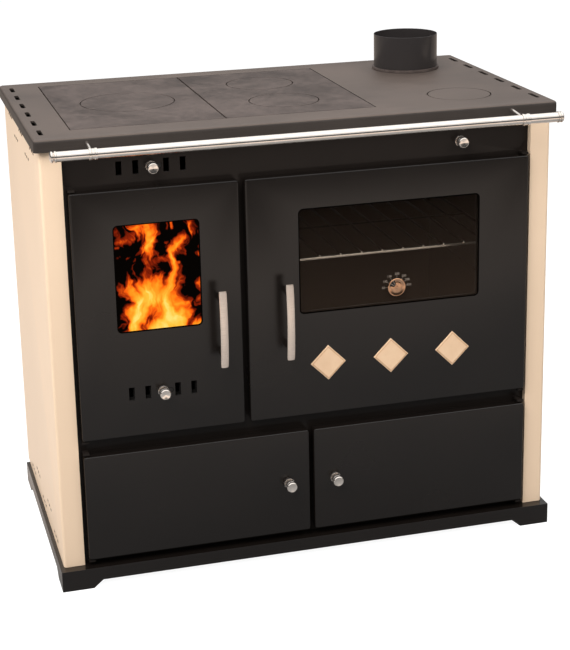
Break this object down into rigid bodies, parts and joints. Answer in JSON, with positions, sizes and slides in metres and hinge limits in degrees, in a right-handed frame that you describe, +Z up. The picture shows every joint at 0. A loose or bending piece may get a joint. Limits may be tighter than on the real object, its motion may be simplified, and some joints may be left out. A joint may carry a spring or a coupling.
{
  "type": "solid-fuel cookstove",
  "caption": "Wood-fired cookstove with firebox, oven, storage compartments, cast-iron hob plates, flue spigot and towel rail.",
  "frame": {"origin": "on the floor, at the middle of the footprint, which runs from the towel rail to the hob's back edge", "axes": "+Z up, -Y out of the front with the doors, +X towards the oven, the right seen from the front"},
  "size_m": [0.97, 0.6238, 0.9216],
  "materials": {
    "black_paint": "satin heat-resistant paint",
    "cream_enamel": "gloss stove enamel",
    "hob_steel": "ground and heat-darkened",
    "cast_iron": "ground, oiled",
    "inner_steel": "matt, heat-darkened",
    "oven_enamel": "gloss enamel",
    "chrome": "polished",
    "satin_steel": "fine satin",
    "copper": "lathe-turned",
    "glass": "smoke-tinted",
    "fireclay": "unglazed",
    "gasket": "woven",
    "glazed_tile": "gloss"
  },
  "bodies": {
    "stove": {"plinth": "black_paint", "side_panel_left": "cream_enamel", "side_panel_right": "cream_enamel", "rear_panel": "black_paint", "front_frame": "black_paint", "inner_casing": "inner_steel", "grate_bed": "cast_iron", "fire_grate": "cast_iron", "firebrick_left": "fireclay", "firebrick_right": "fireclay", "firebrick_back": "fireclay", "oven_box": "oven_enamel", "storage_bin_left": "inner_steel", "storage_bin_right": "inner_steel", "hob_bearer": "inner_steel", "hob_top": "hob_steel", "hob_plate_left": "cast_iron", "hob_plate_middle": "cast_iron", "flue_collar": "cast_iron", "flue_pipe": "black_paint", "flue_baffle": "inner_steel", "towel_rail": "chrome", "rail_cap_left": "chrome", "rail_cap_right": "chrome", "rail_bracket_left": "chrome", "rail_bracket_right": "chrome"},
    "fire_door": {"fire_door_panel": "black_paint", "fire_door_glass": "glass", "fire_window_frame": "black_paint", "fire_door_liner": "inner_steel", "fire_door_seal": "gasket", "fire_door_handle": "satin_steel"},
    "primary_air_slider": {"primary_air_plate": "inner_steel", "primary_air_knob": "chrome"},
    "secondary_air_slider": {"secondary_air_plate": "inner_steel", "secondary_air_knob": "chrome"},
    "oven_door": {"oven_door_panel": "black_paint", "oven_door_glass": "glass", "oven_window_frame": "black_paint", "oven_door_liner": "inner_steel", "oven_door_seal": "gasket", "oven_door_handle": "satin_steel", "thermometer_base": "black_paint", "tile_1": "glazed_tile", "tile_2": "glazed_tile", "tile_3": "glazed_tile"},
    "thermometer": {"thermometer_disc": "copper"},
    "storage_left": {"storage_door_left": "black_paint", "storage_knob_left": "chrome"},
    "storage_right": {"storage_door_right": "black_paint", "storage_knob_right": "chrome"},
    "damper": {"damper_rod": "inner_steel", "damper_knob": "chrome"},
    "ash_drawer": {"ash_pan": "inner_steel", "ash_pan_grip": "inner_steel"},
    "rack": {"oven_rack": "chrome"},
    "left_lid": {"lid_left": "cast_iron"},
    "back_lid": {"lid_back": "cast_iron"},
    "front_lid": {"lid_front": "cast_iron"},
    "flue_cleaning_lid": {"cleaning_lid": "hob_steel"}
  },
  "joints": [
    {"name": "fire_door_hinge", "type": "hinge", "parent": "stove", "child": "fire_door", "pos_m": [-0.424, -0.2281, 0.52], "axis": [0, 0, -1], "range_deg": [0, 110]},
    {"name": "oven_door_hinge", "type": "hinge", "parent": "stove", "child": "oven_door", "pos_m": [0.424, -0.2281, 0.52], "axis": [0, 0, 1], "range_deg": [0, 110]},
    {"name": "storage_left_hinge", "type": "hinge", "parent": "stove", "child": "storage_left", "pos_m": [-0.424, -0.2281, 0.156], "axis": [0, 0, -1], "range_deg": [0, 110]},
    {"name": "storage_right_hinge", "type": "hinge", "parent": "stove", "child": "storage_right", "pos_m": [0.424, -0.2281, 0.156], "axis": [0, 0, 1], "range_deg": [0, 110]},
    {"name": "primary_air_slide", "type": "slide", "parent": "fire_door", "child": "primary_air_slider", "axis": [1, 0, 0], "range_m": [0, 0.015]},
    {"name": "secondary_air_slide", "type": "slide", "parent": "stove", "child": "secondary_air_slider", "axis": [1, 0, 0], "range_m": [0, 0.015]},
    {"name": "damper_slide", "type": "slide", "parent": "stove", "child": "damper", "axis": [0, -1, 0], "range_m": [0, 0.06]},
    {"name": "ash_pan_slide", "type": "slide", "parent": "stove", "child": "ash_drawer", "axis": [0, -1, 0], "range_m": [0, 0.012]},
    {"name": "oven_rack_slide", "type": "slide", "parent": "stove", "child": "rack", "axis": [0, -1, 0], "range_m": [0, 0.012]},
    {"name": "thermometer_spindle", "type": "hinge", "parent": "oven_door", "child": "thermometer", "pos_m": [0.169, -0.2391, 0.5215], "axis": [0, 1, 0], "range_deg": [0, 60]},
    {"name": "lid_left_lift", "type": "slide", "parent": "stove", "child": "left_lid", "axis": [0, 0, 1], "range_m": [0, 0.06]},
    {"name": "lid_back_lift", "type": "slide", "parent": "stove", "child": "back_lid", "axis": [0, 0, 1], "range_m": [0, 0.06]},
    {"name": "lid_front_lift", "type": "slide", "parent": "stove", "child": "front_lid", "axis": [0, 0, 1], "range_m": [0, 0.06]},
    {"name": "cleaning_lid_lift", "type": "slide", "parent": "stove", "child": "flue_cleaning_lid", "axis": [0, 0, 1], "range_m": [0, 0.06]}
  ]
}
